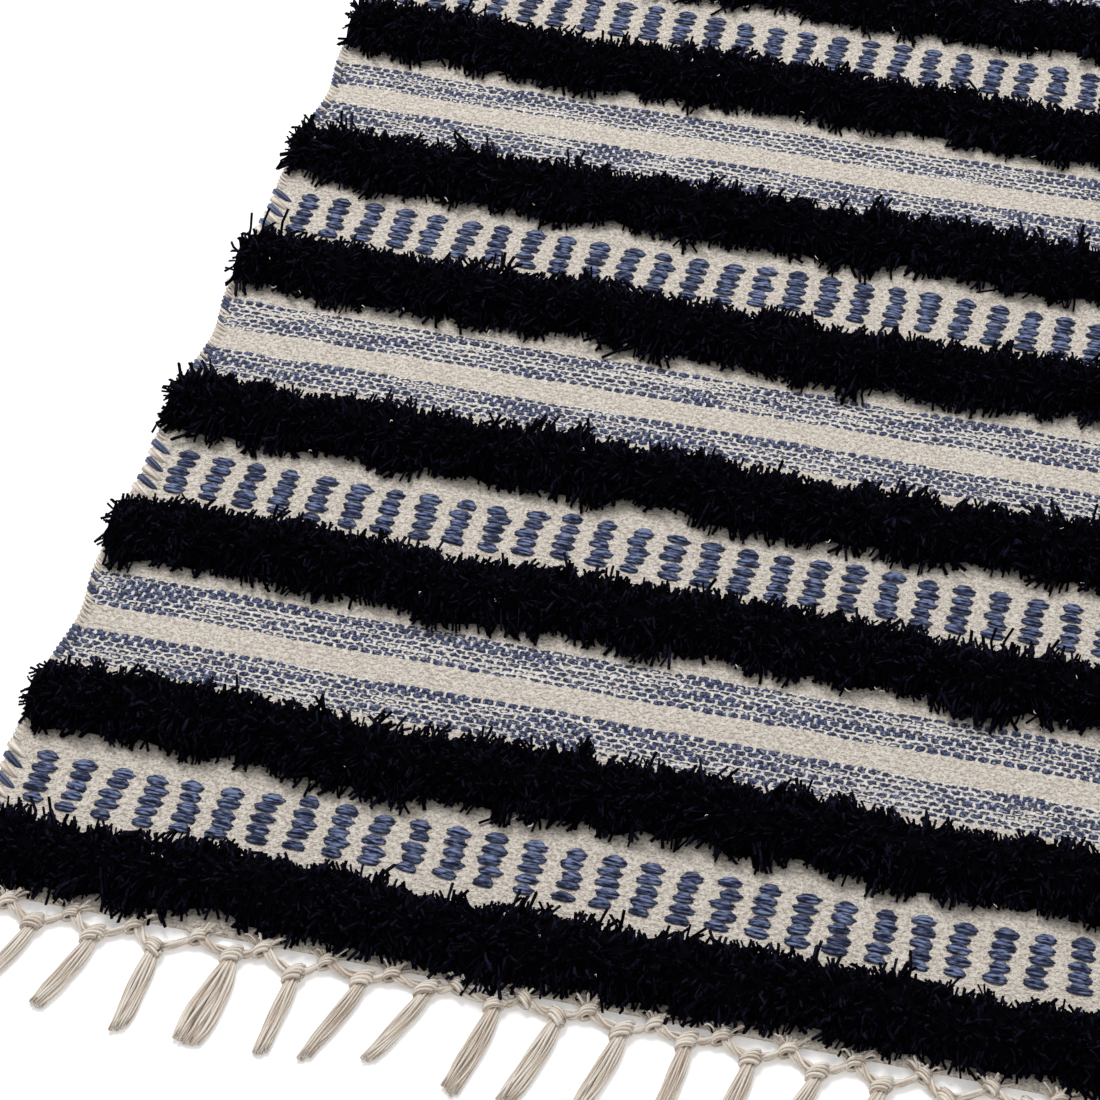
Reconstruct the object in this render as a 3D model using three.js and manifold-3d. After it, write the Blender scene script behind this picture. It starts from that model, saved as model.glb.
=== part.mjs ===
// Hand-woven cotton doormat with ten tufted pile stripes and a knotted fringe at both ends.
// Millimetres, +Z up. X runs across the mat, along the weft. Y runs along its length, with the warp.
// The origin is on the floor under the middle of the mat, which lies flat.
import * as THREE from "three";
import { mergeVertices } from "three/addons/utils/BufferGeometryUtils.js";
import Module from "manifold-3d";

const wasm = await Module();
wasm.setup();

// Driving dimensions
const MAT_WIDTH = 600;
const MAT_LENGTH = 900;
const CLOTH_THICKNESS = 3;
const GAP = 0.3; // clearance between pieces

// Stripes across the mat: ten pile stripes, with a figured band and a marled band in turn between them
const PILE_COUNT = 10;
const FIGURED_GAP = 86.8; // from pile to pile across a band of raised columns
const MARLED_GAP = 106.6; // from pile to pile across a band of mixed yarn
const PILE_REACH = 20; // from the middle of a stripe to its rim
const PILE_HEIGHT = 15;
const PILE_OVERHANG = 3; // how far the pile spreads past a selvedge
const LOCK_PITCH = 8;
const LOCK_DEPTH = { even: 2, uneven: 1.3 }; // how far a lock at the rim stands out or in
const LUMP_PITCH = 24;
const LUMP_HEIGHT = 1.6;
// A stripe's section from its front rim to its back rim: the share of the reach and of the height,
// and how far the row's ends are drawn in from the stripe's ends
const PILE_SECTION = [
  { across: -1, rise: 0, drawnIn: 0 },
  { across: -0.62, rise: 0.72, drawnIn: 3 },
  { across: 0, rise: 1, drawnIn: 5 },
  { across: 0.62, rise: 0.72, drawnIn: 3 },
  { across: 1, rise: 0, drawnIn: 0 },
];

// Raised columns of floating weft yarn
const COLUMN_COUNT = 37;
const COLUMN_PITCH = 15.6;
const COLUMN_WIDTH = 9.6;
const COLUMN_CREST = 6.4;
const COLUMN_HEIGHT = 0.9;
const VALLEY_HEIGHT = 0.1; // of the cloth between the columns
const FLOAT_ROWS = 5;
const FLOAT_PITCH = 5.9;

// Selvedges are drawn in a little where the weft is beaten tight
const FIGURED_PULL = 1.4;
const MARLED_PULL = 3.2;
const SELVEDGE_STEP = 15;

// Fringe: warp ends tied in knots along the cloth's edge, then shared out and tied again into tassels
const TASSEL_COUNT = 23;
const TASSEL_PITCH = 25.8;
const BINDING_WIDTH = 2.4;
const BINDING_THICKNESS = 3.6;
const EDGE_KNOT = { across: 7.2, along: 6.4 };
const TASSEL_KNOT = { across: 4.2, along: 4.6, height: 5, topShare: 0.55 };
const KNOT_SIDES = 5;
const LEG_WIDTH = 3.6;
const LEG_HEIGHT = 3.2;
const LOCKS_PER_TASSEL = 4;
const LOCK_ROOT = 1.2;
const LOCK_HEIGHT = 3;
const LOCK_SPACE = 0.5; // between neighbouring locks
const LOCK_SHORTFALL = 0.03; // the largest share by which a lock is shorter than its tassel

// The tassels differ as tied by hand: how far the knot hangs from the cloth and sits off its even place,
// the tip's sideways lean, the length from knot to tip and the width of the spread tip.
const TASSELS = [
  { drop: 12.5, shift: 0, lean: -6, length: 44, spread: 8 },
  { drop: 13, shift: 0, lean: -12, length: 42, spread: 7.6 },
  { drop: 13.5, shift: -1.2, lean: -10.3, length: 39.5, spread: 8.6 },
  { drop: 14, shift: -2.3, lean: -1.7, length: 42.7, spread: 8.8 },
  { drop: 10.5, shift: -0.5, lean: 1, length: 46, spread: 14 },
  { drop: 14, shift: 2.2, lean: -2, length: 40.9, spread: 7.2 },
  { drop: 10, shift: 2.4, lean: -11.5, length: 42.6, spread: 8.4 },
  { drop: 8.5, shift: 1.8, lean: -13, length: 39.5, spread: 8 },
  { drop: 9, shift: 3.4, lean: -7, length: 47, spread: 8.8 },
  { drop: 10, shift: 1.6, lean: -9, length: 45, spread: 9.6 },
  { drop: 11, shift: 1.5, lean: -8, length: 43, spread: 9 },
  { drop: 10, shift: 0.6, lean: -3, length: 44, spread: 8.2 },
];

const ecruCloth = new THREE.MeshStandardMaterial({ color: 0xcfc6b6, roughness: 0.95, metalness: 0 });
const navyPile = new THREE.MeshStandardMaterial({ color: 0x070a16, roughness: 1, metalness: 0 });
const ecruYarn = new THREE.MeshStandardMaterial({ color: 0xc4b8a6, roughness: 0.9, metalness: 0 });

// Even but irregular numbers between -1 and 1 for what is uneven by hand.
function uneven(step, series) {
  const wave = Math.sin(step * 12.9898 + series * 78.233) * 43758.5453;
  return 2 * (wave - Math.floor(wave)) - 1;
}

// A closed three.js geometry as a solid for cutting and joining.
function solid(geometry) {
  const bare = geometry.index ? geometry.toNonIndexed() : geometry.clone();
  bare.deleteAttribute("normal");
  bare.deleteAttribute("uv");
  const merged = mergeVertices(bare, 1e-4);
  return new wasm.Manifold(
    new wasm.Mesh({
      numProp: 3,
      vertProperties: merged.attributes.position.array,
      triVerts: new Uint32Array(merged.index.array),
    }),
  );
}

// A solid back as a named mesh.
function meshOf(shape, name, material) {
  const { vertProperties, triVerts } = shape.getMesh();
  const geometry = new THREE.BufferGeometry();
  geometry.setAttribute("position", new THREE.BufferAttribute(vertProperties, 3));
  geometry.setIndex(new THREE.BufferAttribute(triVerts, 1));
  geometry.computeVertexNormals();
  return named(geometry, name, material);
}

function named(geometry, name, material) {
  const mesh = new THREE.Mesh(geometry, material);
  mesh.name = name;
  return mesh;
}

// Where the pile stripes lie, and the flat bands between them
const pileLines = [];
const bands = [];
const figuredCount = PILE_COUNT / 2;
const firstLine = -(figuredCount * FIGURED_GAP + (figuredCount - 1) * MARLED_GAP) / 2;
for (let stripe = 0, y = firstLine; stripe < PILE_COUNT; stripe += 1) {
  pileLines.push(y);
  const figured = stripe % 2 === 0;
  const gap = figured ? FIGURED_GAP : MARLED_GAP;
  if (stripe < PILE_COUNT - 1) bands.push({ figured, middle: y + gap / 2, width: gap - 2 * PILE_REACH });
  y += gap;
}

// How far a selvedge is drawn in at a place along the mat.
function pulledIn(y) {
  for (const band of bands) {
    const across = (y - band.middle) / (band.width / 2);
    const pull = band.figured ? FIGURED_PULL : MARLED_PULL;
    if (Math.abs(across) < 1) return pull * Math.cos((across * Math.PI) / 2) ** 2;
  }
  return 0;
}

// One figured band: a shallow strip with a raised column for each stack of floats, let into the cloth.
function raisedColumns(band) {
  const sunk = CLOTH_THICKNESS / 2;
  const valley = CLOTH_THICKNESS + VALLEY_HEIGHT;
  const crest = CLOTH_THICKNESS + COLUMN_HEIGHT;
  const end = (COLUMN_COUNT * COLUMN_PITCH) / 2;
  const profile = new THREE.Shape();
  profile.moveTo(-end, sunk);
  profile.lineTo(end, sunk);
  profile.lineTo(end, valley);
  for (let column = COLUMN_COUNT - 1; column >= 0; column -= 1) {
    const x = (column - (COLUMN_COUNT - 1) / 2) * COLUMN_PITCH;
    profile.lineTo(x + COLUMN_WIDTH / 2, valley);
    profile.lineTo(x + COLUMN_CREST / 2, crest);
    profile.lineTo(x - COLUMN_CREST / 2, crest);
    profile.lineTo(x - COLUMN_WIDTH / 2, valley);
  }
  profile.lineTo(-end, valley);
  const length = FLOAT_ROWS * FLOAT_PITCH;
  const strip = new THREE.ExtrudeGeometry(profile, { depth: length, bevelEnabled: false });
  strip.rotateX(Math.PI / 2).translate(0, band.middle + length / 2, 0);
  return solid(strip);
}

// The woven ground: one flat sheet with wavering selvedges and its figured bands.
function groundCloth() {
  const half = MAT_LENGTH / 2;
  const steps = MAT_LENGTH / SELVEDGE_STEP;
  const right = [];
  for (let step = 0; step <= steps; step += 1) {
    const y = -half + step * SELVEDGE_STEP;
    right.push(new THREE.Vector2(MAT_WIDTH / 2 - pulledIn(y), y));
  }
  const left = right.map((point) => new THREE.Vector2(-point.x, -point.y));
  const outline = new THREE.Shape([...right, ...left]);
  let cloth = solid(new THREE.ExtrudeGeometry(outline, { depth: CLOTH_THICKNESS, bevelEnabled: false }));
  for (const band of bands.filter((each) => each.figured)) cloth = cloth.add(raisedColumns(band));
  return meshOf(cloth, "ground_cloth", ecruCloth);
}

// Triangles between two rows of points that both run along +X, though their points may differ in number.
function stitch(faces, row, next) {
  let i = 0;
  let j = 0;
  while (i < row.length - 1 || j < next.length - 1) {
    const advanceRow = j === next.length - 1 || (i < row.length - 1 && row[i + 1].x <= next[j + 1].x);
    if (advanceRow) {
      faces.push(row[i].index, row[i + 1].index, next[j].index);
      i += 1;
    } else {
      faces.push(row[i].index, next[j + 1].index, next[j].index);
      j += 1;
    }
  }
}

// One row of points along a pile stripe: a rim of pointed locks at the foot, or a lumpy line higher up.
// limit keeps a rim from reaching past the edge of the cloth.
function pileRow(number, middle, limit, { across, rise, drawnIn }, firstIndex) {
  const isRim = rise === 0;
  const end = MAT_WIDTH / 2 + PILE_OVERHANG - drawnIn;
  const count = Math.round((2 * end) / (isRim ? LOCK_PITCH : LUMP_PITCH));
  const row = [];
  for (let step = 0; step <= count; step += 1) {
    const chance = uneven(step, number * 7 + across);
    const outOrIn = step % 2 ? 1 : -1;
    const lock = isRim ? outOrIn * (LOCK_DEPTH.even + LOCK_DEPTH.uneven * chance) : 0;
    const lump = isRim ? 0 : LUMP_HEIGHT * chance;
    const x = -end + (2 * end * step) / count;
    const y = THREE.MathUtils.clamp(middle + across * (PILE_REACH + lock), -limit, limit);
    const z = CLOTH_THICKNESS + GAP + rise * PILE_HEIGHT + lump;
    row.push({ x, y, z, index: firstIndex + step });
  }
  return row;
}

// One pile stripe: a lumpy mound on the cloth whose rims break up into pointed locks.
function pileStripe(number, middle) {
  const rows = [];
  let count = 0;
  for (const line of PILE_SECTION) {
    const row = pileRow(number, middle, MAT_LENGTH / 2 - GAP, line, count);
    rows.push(row);
    count += row.length;
  }
  const faces = [];
  rows.forEach((row, place) => stitch(faces, row, rows[(place + 1) % rows.length]));
  const first = rows.map((row) => row[0].index);
  const last = rows.map((row) => row[row.length - 1].index);
  for (let corner = 1; corner < rows.length - 1; corner += 1) {
    faces.push(first[0], first[corner], first[corner + 1]);
    faces.push(last[0], last[corner + 1], last[corner]);
  }
  const geometry = new THREE.BufferGeometry();
  const positions = rows.flat().flatMap(({ x, y, z }) => [x, y, z]);
  geometry.setAttribute("position", new THREE.Float32BufferAttribute(positions, 3));
  geometry.setIndex(faces);
  geometry.computeVertexNormals();
  return named(geometry, `pile_stripe_${String(number).padStart(2, "0")}`, navyPile);
}

// A three-sided lock of yarn that lies level on the floor from one point { x, y, width } to another.
function lyingLock(from, to, height) {
  const along = new THREE.Vector2(to.x - from.x, to.y - from.y).normalize();
  const positions = [from, to].flatMap(({ x, y, width }) => {
    const offX = (along.y * width) / 2;
    const offY = (-along.x * width) / 2;
    return [x + offX, y + offY, 0, x, y, height, x - offX, y - offY, 0];
  });
  const geometry = new THREE.BufferGeometry();
  geometry.setAttribute("position", new THREE.Float32BufferAttribute(positions, 3));
  geometry.setIndex([0, 1, 2, 3, 5, 4, 0, 3, 1, 1, 3, 4, 1, 4, 2, 2, 4, 5, 2, 5, 0, 0, 5, 3]);
  return solid(geometry);
}

// A knot as a low faceted stone that stands on the floor.
function knot(size, x, y) {
  const stone = new THREE.CylinderGeometry(size.topShare, 1, size.height, KNOT_SIDES);
  stone.rotateX(Math.PI / 2).scale(size.across, size.along, 1);
  stone.translate(x, y, size.height / 2);
  return solid(stone);
}

// One tassel: its knot, the two legs that come down from the edge knots, and its spread locks.
function tassel(place, edgeLine) {
  const { drop, shift, lean, length, spread } = TASSELS[place % TASSELS.length];
  const middle = (place - (TASSEL_COUNT - 1) / 2) * TASSEL_PITCH;
  const x = middle + shift;
  const y = edgeLine - drop;
  const pieces = [knot(TASSEL_KNOT, x, y)];
  for (const side of [-1, 1]) {
    const topX = middle + side * (TASSEL_PITCH / 2 - LEG_WIDTH / 2);
    const top = { x: topX, y: edgeLine - BINDING_WIDTH, width: LEG_WIDTH };
    const bottom = { x: x + (side * LEG_WIDTH) / 2, y: y + LEG_WIDTH / 2, width: LEG_WIDTH };
    pieces.push(lyingLock(top, bottom, LEG_HEIGHT));
  }
  const tipWidth = (spread - LOCK_SPACE * (LOCKS_PER_TASSEL - 1)) / LOCKS_PER_TASSEL;
  for (let each = 0; each < LOCKS_PER_TASSEL; each += 1) {
    const share = each - (LOCKS_PER_TASSEL - 1) / 2;
    const root = { x: x + share * (LOCK_ROOT + LOCK_SPACE), y: y - 1, width: LOCK_ROOT };
    const tipX = x + lean + share * (tipWidth + LOCK_SPACE);
    const tipY = y - length * (1 - LOCK_SHORTFALL * Math.abs(uneven(place, each)));
    pieces.push(lyingLock(root, { x: tipX, y: tipY, width: tipWidth }, LOCK_HEIGHT));
  }
  return pieces;
}

// The warp gathered along the cloth's edge: a narrow binding that bulges at each edge knot.
function binding(edgeLine) {
  const end = (TASSEL_COUNT * TASSEL_PITCH) / 2 + EDGE_KNOT.across / 2;
  const shape = new THREE.Shape();
  shape.moveTo(-end, edgeLine);
  for (let place = 0; place <= TASSEL_COUNT; place += 1) {
    const x = (place - TASSEL_COUNT / 2) * TASSEL_PITCH;
    shape.lineTo(x - EDGE_KNOT.across / 2, edgeLine - BINDING_WIDTH);
    shape.lineTo(x - EDGE_KNOT.across / 4, edgeLine - EDGE_KNOT.along);
    shape.lineTo(x + EDGE_KNOT.across / 4, edgeLine - EDGE_KNOT.along);
    shape.lineTo(x + EDGE_KNOT.across / 2, edgeLine - BINDING_WIDTH);
  }
  shape.lineTo(end, edgeLine);
  return solid(new THREE.ExtrudeGeometry(shape, { depth: BINDING_THICKNESS, bevelEnabled: false }));
}

// The fringe at one end: the binding with its edge knots, and the tassels.
function fringe(name, turn) {
  const edgeLine = -MAT_LENGTH / 2 - GAP;
  const pieces = [binding(edgeLine)];
  for (let place = 0; place < TASSEL_COUNT; place += 1) pieces.push(...tassel(place, edgeLine));
  const mesh = meshOf(wasm.Manifold.union(pieces), name, ecruYarn);
  mesh.rotation.z = turn;
  return mesh;
}

const doormat = new THREE.Group();
doormat.add(groundCloth());
pileLines.forEach((middle, place) => doormat.add(pileStripe(place + 1, middle)));
doormat.add(fringe("fringe_near", 0));
doormat.add(fringe("fringe_far", Math.PI));

export default doormat;
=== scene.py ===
# Hand-woven cotton doormat with tufted pile stripes and a knotted fringe.
# Lengths are in millimetres unless a name ends in _M, and angles in radians unless a comment says degrees.
# X runs across the mat, Y along its warp, Z up.
import math

import bpy
import numpy as np
from mathutils import Matrix, Vector


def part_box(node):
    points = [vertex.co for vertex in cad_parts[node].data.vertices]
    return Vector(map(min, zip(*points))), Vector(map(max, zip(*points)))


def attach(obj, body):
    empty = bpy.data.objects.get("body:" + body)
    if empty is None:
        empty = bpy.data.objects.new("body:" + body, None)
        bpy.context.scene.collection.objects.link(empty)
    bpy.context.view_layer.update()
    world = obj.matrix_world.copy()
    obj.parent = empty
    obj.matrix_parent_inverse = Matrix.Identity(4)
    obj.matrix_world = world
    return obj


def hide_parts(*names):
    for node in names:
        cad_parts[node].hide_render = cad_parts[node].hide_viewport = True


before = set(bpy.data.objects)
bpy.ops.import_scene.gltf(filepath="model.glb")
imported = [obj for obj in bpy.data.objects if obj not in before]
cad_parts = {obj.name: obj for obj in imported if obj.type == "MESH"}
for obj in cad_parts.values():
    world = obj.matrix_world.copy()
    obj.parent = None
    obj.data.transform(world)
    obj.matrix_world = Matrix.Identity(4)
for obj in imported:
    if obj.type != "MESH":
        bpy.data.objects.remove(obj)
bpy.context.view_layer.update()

MM = 0.001
chance = np.random.default_rng(37)

# Sizes read from the frame
HALF_WIDTH, HALF_LENGTH = np.array(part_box("ground_cloth")[1][:2]) / MM
PILE_NODES = sorted(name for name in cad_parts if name.startswith("pile_stripe"))
PILE_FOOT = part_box(PILE_NODES[0])[0][2] / MM

# Stripes: from pile to pile over each kind of band, and how far each band draws the selvedges in
FIGURED_GAP = 86.8
MARLED_GAP = 106.6
FIGURED_PULL = 1.4
MARLED_PULL = 3.2

# Ground sheet
CLOTH_TOP = 2.75
SELVEDGE_INSET = 1.2
STEPS_ACROSS = 70
STEPS_ALONG = 144
PUCKER = 0.16

# Weave, where a shake is (scale of its noise, reach)
WARP_PITCH = 2.6
PICK_PITCH = 2.96
PICK_SWELL = 0.09
PICK_BOW = (14.0, 3.2)
PICK_SHAKE = (260.0, 2.2)
WARP_SHAKE = (260.0, 3.0)
WARP_NOISE_SHIFT = (3.0, 7.0, 0.0)
WEAVE_GRAIN = 820.0
WEAVE_BUMP_M = 0.0007

# Marled bands: where their blue begins and ends, its usual size, and how rarely it fills its pick.
# Each noise changes along a pick at its own rate.
MARL_CORE = 7.4
MARL_EDGE = 27.5
MARL_SIZE = 0.69
MARL_SOLID = 0.53
MARL_SHARPNESS = 4.5
PICK_SEED_STEP = 10.74
SIZE_NOISE = {"rate": 0.025, "layer": 0.0, "detail": 2.0, "roughness": 0.6}
SOLID_NOISE = {"rate": 0.016, "layer": 5.0, "detail": 1.0}
LIE_NOISE = {"rate": 0.06, "layer": 9.0, "detail": 2.0}
UNDYED_NOISE = {"rate": 0.03, "layer": 13.0, "detail": 1.0}

# Yarns and cut ends
PLY_TWIST = 0.045
YARN_FIBRES = 1400.0
COTTON_FIBRES = 900.0
FIBRE_BUMP_M = 0.0003

# Floats, whose lengths, widths and rises are (least, most) as shares of the usual size
FLOAT_COLUMNS = 37
FLOAT_COLUMN_PITCH = 15.6
FLOAT_ROWS = 5
FLOAT_LENGTH = 10.0
FLOAT_WIDTH = 6.1
FLOAT_RISE = 3.0
FLOAT_SINK = 0.15
FLOAT_KINDS = 7
FLOAT_LENGTHS = (0.84, 1.08)
FLOAT_WIDTHS = (0.85, 1.08)
FLOAT_RISES = (0.85, 1.15)
FLOAT_TONES = (0.33, 0.8)
FLOAT_TURN = -0.03
FLOAT_TURN_CHANGE = 0.07
FLOAT_OFF_ROW = 0.3
FLOAT_OFF_COLUMN = 0.55
FLOAT_BOW = (1.4, 260)

# The places where a float's strand bends, and its strands as (offset, length), in shares of the float
FLOAT_CUTS = (-0.4, -0.17, 0.17, 0.4)
OUTER_STRAND = 0.3
FLOAT_STRANDS = ((-OUTER_STRAND, 0.94), (0.0, 1.0), (OUTER_STRAND, 0.7))

# Selvedges
THICK_WRAP = {"reach": 9.5, "change": 0.1, "thickness": 1.75, "drop": 6.0}
THIN_WRAP = {"reach": 5.5, "change": 0.2, "thickness": 0.78, "drop": 3.6}
WRAP_ROUND = 0.5
BLUE_WRAPS_IN_MARL = 0.62

# Pile: the envelope of a stripe, where a swing or ripple is (reach, wave)
PILE_FRONT = 20.5
PILE_BACK = 20.4
PILE_HEIGHT = 15.6
PILE_OVERHANG = 2.0
PILE_END = 13.0
PILE_END_REACH = 0.3
PILE_END_HEIGHT = 0.35
MIDDLE_SWING = (2.2, 300)
BACK_SWING = (2.0, 75)
BACK_RIPPLE = (1.0, 23)
FRONT_SWING = (3.2, 75)
FRONT_RIPPLE = (2.5, 22)
HEIGHT_SWING = (0.07, 50)
RIM_ANGLE = 1.56
LEVEL_ANGLE = 1.55
CORE_SHARE = 0.76
CORE_STEPS = 60
CORE_FOOT = 0.68

# Cut ends, which lean together in clumps
CLUMP_WIDTH = 6.5
CLUMP_DRIFT = 2.2
CLUMP_TURN = 0.11
END_LENGTH = 0.97
END_LENGTH_CHANGE = 0.06
END_DRIFT = 1.7
END_TURN = 0.1
BACK_SHORTER = 0.2
TIP_CLEARANCE = 0.45
END_WIDTHS = (0.95, 1.5)
BENT_WIDER = 1.3
SHORT_RADIUS = 0.42
BENT_RADIUS = 0.46
END_BEND = 4.5
SHORT_ENDS = {"low": -RIM_ANGLE, "high": RIM_ANGLE, "columns": 230, "rows": 20, "root": 0.7}

# Bent ends at the front rim, over the body and at the back rim, by their lowest and highest angle from
# straight up. The tufts that they gather in differ in length, and single ends stray from their tuft.
BENT = {"rows": 3, "root": 0.62}
BENT_ENDS = (
    {**BENT, "low": -RIM_ANGLE, "high": -1.2, "columns": 220, "longest": 0.4, "stray": 2.8},
    {**BENT, "low": -1.1, "high": 0.6, "columns": 115, "longest": 0.4, "stray": 2.0},
    {**BENT, "low": 0.55, "high": 1.1, "columns": 205, "longest": 1.0, "stray": 1.3},
)
TUFT_WIDTH = 9.0
TUFT_SHIFT = 2.4
TUFT_RISE = 3.2
TUFT_LEAN = 2.2
TUFT_PULL = 0.68
LINT = (
    {"low": -RIM_ANGLE, "high": -1.3, "count": 10, "length": 2.8},
    {"low": -1.2, "high": 1.2, "count": 5, "length": 1.4},
)

# Fringe
TASSEL_COUNT = 23
TASSEL_PITCH = 25.8
EDGE_LINE = HALF_LENGTH + 0.3
EDGE_KNOT_DROP = 3.4
EDGE_KNOT = {"across": 3.1, "height": 2.0, "span": 5.6, "turns": 4, "radius": 1.0}
GATHERED_WARPS = 10
WARP_RADIUS = 0.66
FRAYED_ENDS = 7
FRAYED_RADIUS = 0.55
LEG_DROP = 4.6
LEG_YARNS = 3
LEG_RADIUS = 1.15
LEG_TWIST = 3.4
LEG_TOP = 2.4
LEG_MIDDLE = 1.9
LEG_BOTTOM = 2.3
TASSEL_KNOT = {"across": 3.4, "height": 2.1, "span": 6.6, "turns": 4, "radius": 1.15}
TASSEL_YARNS = 16
GOLDEN_ANGLE = 2.399
YARN_CLEARANCE = 0.02

# Tassels: how far the knot hangs and lies aside, and the yarns' lean, length and spread. The row repeats.
TASSEL_COLUMNS = ("drop", "shift", "lean", "length", "spread")
TASSEL_ROWS = (
    (12.5, 0.0, -6.0, 44.0, 8.0),
    (13.0, 0.0, -12.0, 42.0, 7.6),
    (13.5, -1.2, -10.3, 39.5, 8.6),
    (14.0, -2.3, -1.7, 42.7, 8.8),
    (10.5, 2.2, -5.5, 46.0, 14.5),
    (14.0, 2.2, -2.0, 40.9, 7.2),
    (10.0, 2.4, -11.5, 42.6, 8.4),
    (8.5, 1.8, -13.0, 39.5, 8.0),
    (9.0, 3.4, -7.0, 47.0, 8.8),
    (10.0, 1.6, -9.0, 45.0, 9.6),
    (11.0, 1.5, -8.0, 43.0, 9.0),
    (10.0, 0.6, -3.0, 44.0, 8.2),
)
TASSELS = [dict(zip(TASSEL_COLUMNS, row)) for row in TASSEL_ROWS]

# Studio, with the camera's angles in degrees
VIEW_AIM_M = Vector((-0.1148, -0.1980, 0.0))
VIEW_DISTANCE_M = 1.8134
VIEW_ELEVATION = 41.67
VIEW_TURN = 12.27
VIEW_ROLL = 1.64
LENS = 138.53
SENSOR_WIDTH = 36
FLOOR_SIZE_M = 60
FLOOR_GLOW = 0.2
BACKDROP_STRENGTH = 0.66
KEY_LIGHT = {"place": (-0.8, 1.1, 2.4), "aim": (-0.1, -0.1, 0), "size": 1.1, "power": 50}

# Dyes, and the shade painted into the cotton's hollows and ply grooves, as linear colour
WHITE = (1, 1, 1, 1)
FLOOR_GREY = (0.93, 0.93, 0.93, 1)
ECRU = (0.825, 0.768, 0.69, 1)
# Painted shade for the hollows between picks, strands and grains
ECRU_PAINTED_SHADE = (0.33, 0.26, 0.205, 1)
ECRU_BRIGHT = (0.9, 0.865, 0.8, 1)
YARN = (0.82, 0.762, 0.682, 1)
# Painted shade for the grooves between plies
YARN_PAINTED_SHADE = (0.34, 0.225, 0.15, 1)
BLUE = (0.013, 0.017, 0.045, 1)
BLUE_LIGHT = (0.17, 0.21, 0.36, 1)
FLOAT_LIGHT = (0.19, 0.235, 0.4, 1)
MARL_LIGHT = (0.148, 0.183, 0.36, 1)
MARL_FLECK = (0.5, 0.53, 0.62, 1)
NAVY = (0.0008, 0.0008, 0.0021, 1)
NAVY_LIGHT = (0.0125, 0.0118, 0.0275, 1)


# Node helpers


def material(name, roughness=0.95, gloss=0.15):
    """A new material with its node tree and principled shader."""
    made = bpy.data.materials.new(name)
    made.use_nodes = True
    shader = made.node_tree.nodes["Principled BSDF"]
    shader.inputs["Roughness"].default_value = roughness
    shader.inputs["Specular IOR Level"].default_value = gloss
    return made, made.node_tree, shader


def fill_sockets(tree, sockets, values):
    """Sets each socket to its number or colour, or links it to its output."""
    for socket, value in zip(sockets, values):
        if isinstance(value, (int, float, tuple)):
            socket.default_value = value
        else:
            tree.links.new(value, socket)


def maths(tree, operation, first, second=0.0, third=0.0):
    node = tree.nodes.new("ShaderNodeMath")
    node.operation = operation
    fill_sockets(tree, node.inputs, (first, second, third))
    return node.outputs[0]


def plus(tree, first, second):
    return maths(tree, "ADD", first, second)


def minus(tree, first, second):
    return maths(tree, "SUBTRACT", first, second)


def times(tree, first, second):
    return maths(tree, "MULTIPLY", first, second)


def scaled(tree, value, factor, offset):
    """The value times a factor, with an offset added."""
    return maths(tree, "MULTIPLY_ADD", value, factor, offset)


def clamped(tree, value, low=0.0, high=1.0):
    return maths(tree, "MINIMUM", maths(tree, "MAXIMUM", value, low), high)


def between(tree, value, low, high):
    """1 where the value lies between the limits, else 0."""
    above = maths(tree, "GREATER_THAN", value, low)
    below = maths(tree, "LESS_THAN", value, high)
    return times(tree, above, below)


def soft_edge(tree, inside, sharpness):
    """0 outside and 1 inside, with a short fade where the value passes through zero."""
    return clamped(tree, scaled(tree, inside, sharpness, 0.5))


def blended(tree, share, first, second):
    """A mix of two colours or colour sockets."""
    node = tree.nodes.new("ShaderNodeMix")
    node.data_type = "RGBA"
    fill_sockets(tree, (node.inputs[0], node.inputs[6], node.inputs[7]), (share, first, second))
    return node.outputs[2]


def vector_of(tree, x, y, z=0.0):
    node = tree.nodes.new("ShaderNodeCombineXYZ")
    fill_sockets(tree, node.inputs, (x, y, z))
    return node.outputs[0]


def vector_length(tree, vector):
    node = tree.nodes.new("ShaderNodeVectorMath")
    node.operation = "LENGTH"
    tree.links.new(vector, node.inputs[0])
    return node.outputs["Value"]


def noise(tree, vector, scale, detail=2.0, roughness=0.5):
    node = tree.nodes.new("ShaderNodeTexNoise")
    node.inputs["Scale"].default_value = scale
    node.inputs["Detail"].default_value = detail
    node.inputs["Roughness"].default_value = roughness
    tree.links.new(vector, node.inputs["Vector"])
    return node.outputs["Fac"]


def shaken(tree, place, value, scale, reach):
    """A value moved to and fro by a noise, as threads are that hands beat in."""
    shake = minus(tree, noise(tree, place, scale), 0.5)
    return scaled(tree, shake, reach, value)


def bumped(tree, shader, height, distance_m, strength):
    node = tree.nodes.new("ShaderNodeBump")
    node.inputs["Distance"].default_value = distance_m
    node.inputs["Strength"].default_value = strength
    tree.links.new(height, node.inputs["Height"])
    tree.links.new(node.outputs[0], shader.inputs["Normal"])


def object_place(tree):
    return tree.nodes.new("ShaderNodeTexCoord").outputs["Object"]


def tone_of_point(tree):
    """The tone that joined() keeps for each point."""
    tone = tree.nodes.new("ShaderNodeAttribute")
    tone.attribute_name = "tone"
    return tone.outputs["Fac"]


# Stripe layout


def stripe_lines():
    """The Y of each pile stripe's middle, and the bands between as (middle, half width, figured)."""
    count = len(PILE_NODES)
    figured_count = math.ceil((count - 1) / 2)
    marled_count = math.floor((count - 1) / 2)
    line = -(figured_count * FIGURED_GAP + marled_count * MARLED_GAP) / 2
    lines = []
    bands = []
    for stripe in range(count):
        lines.append(line)
        figured = stripe % 2 == 0
        gap = FIGURED_GAP if figured else MARLED_GAP
        if stripe < count - 1:
            bands.append((line + gap / 2, gap / 2 - PILE_BACK, figured))
        line += gap
    return lines, bands


PILE_LINES, BANDS = stripe_lines()
FIGURED_MIDDLES = [middle for middle, half, figured in BANDS if figured]
MARLED_MIDDLES = [middle for middle, half, figured in BANDS if not figured]


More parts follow.
